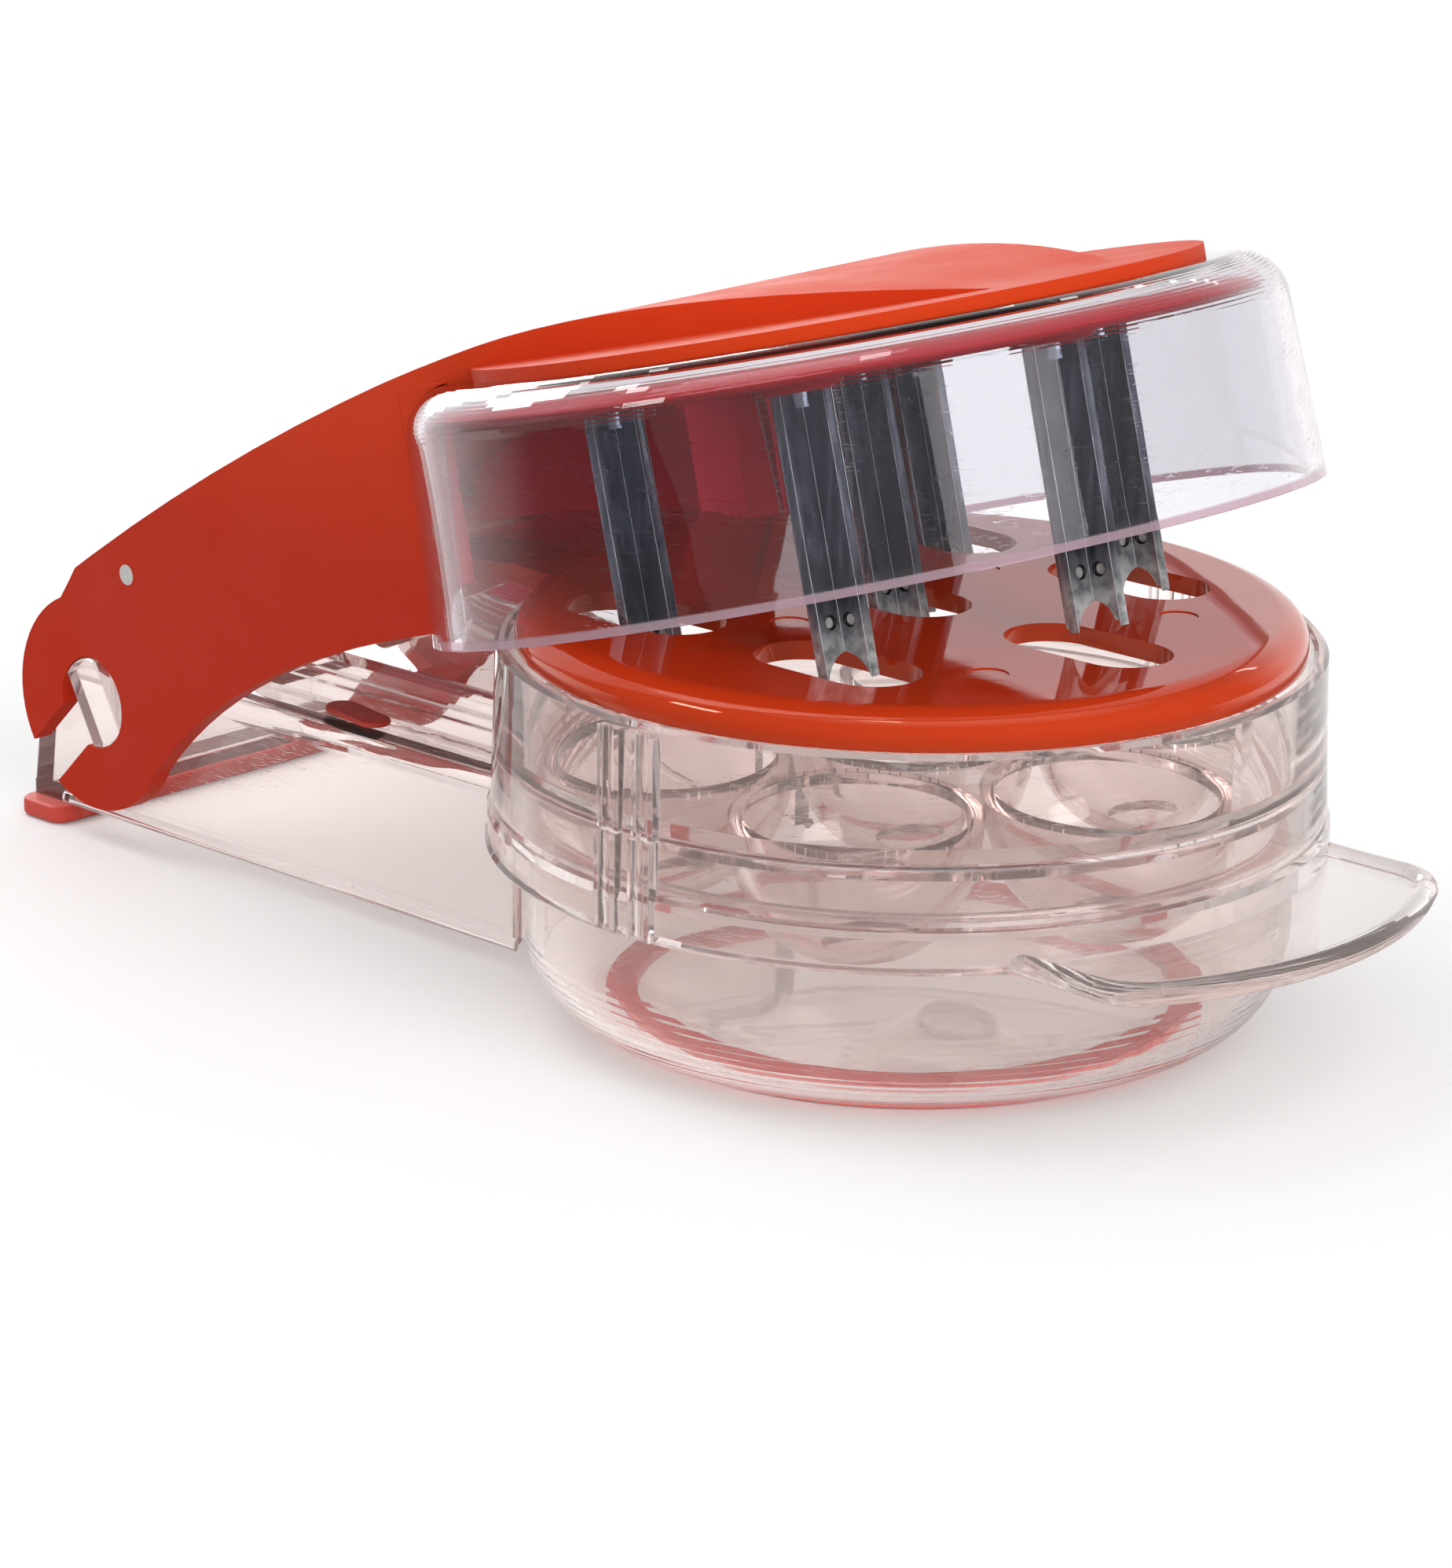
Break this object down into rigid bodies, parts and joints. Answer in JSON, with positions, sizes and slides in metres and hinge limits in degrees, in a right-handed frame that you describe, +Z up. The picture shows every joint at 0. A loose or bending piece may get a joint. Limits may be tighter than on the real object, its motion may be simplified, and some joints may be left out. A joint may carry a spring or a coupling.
{
  "type": "cherry pitter",
  "caption": "Countertop cherry pitter: a sprung lever with fluted plungers under a clear lid presses through a stripper plate into a tray of bowls over a pit cup.",
  "frame": {"origin": "middle of the rest-pose box, on the table", "axes": "+X along the tool from the tail to the front tab, +Z up; the XZ plane is the plane of symmetry"},
  "size_m": [0.2154, 0.1157, 0.102],
  "materials": {
    "clear_plastic": "polished clear plastic with a faint warm tint",
    "matte_orange": "finely textured matt moulding",
    "carrier_orange": "smooth moulding",
    "gloss_orange": "high gloss moulding",
    "soft_red": "soft matt grip",
    "dark_steel": "cast stainless steel, bright on the fins' edges",
    "pin_steel": "ground pin",
    "spring_steel": "drawn wire"
  },
  "bodies": {
    "base": {"base_shell": "clear_plastic", "cherry_tray": "clear_plastic", "cherry_bowl_1": "clear_plastic", "cherry_bowl_2": "clear_plastic", "cherry_bowl_3": "clear_plastic", "cherry_bowl_4": "clear_plastic", "cherry_bowl_5": "clear_plastic", "cherry_bowl_6": "clear_plastic", "tail_foot": "soft_red", "stop_buttons": "soft_red"},
    "cup": {"pit_cup": "clear_plastic", "cup_foot_ring": "soft_red"},
    "plate": {"stripper_plate": "gloss_orange"},
    "handle": {"handle_arm": "matte_orange", "lid_dome": "clear_plastic", "plunger_carrier": "carrier_orange", "plunger_1": "dark_steel", "plunger_2": "dark_steel", "plunger_3": "dark_steel", "plunger_4": "dark_steel", "plunger_5": "dark_steel", "plunger_6": "dark_steel", "steel_pin": "pin_steel", "lift_spring": "spring_steel"}
  },
  "joints": [
    {"name": "open_hinge", "type": "hinge", "parent": "base", "child": "plate", "pos_m": [-0.08925, 0, 0.0205], "axis": [0, -1, 0], "range_deg": [0, 75]},
    {"name": "press_hinge", "type": "hinge", "parent": "plate", "child": "handle", "pos_m": [-0.08925, 0, 0.0205], "axis": [0, -1, 0], "range_deg": [-14.2, 0], "stiffness_Nm_per_rad": 0.3, "springref_deg": 51.57, "deforming": ["lift_spring"]},
    {"name": "cup_drop", "type": "slide", "parent": "base", "child": "cup", "axis": [0, 0, -1], "range_m": [0, 0.03]}
  ]
}
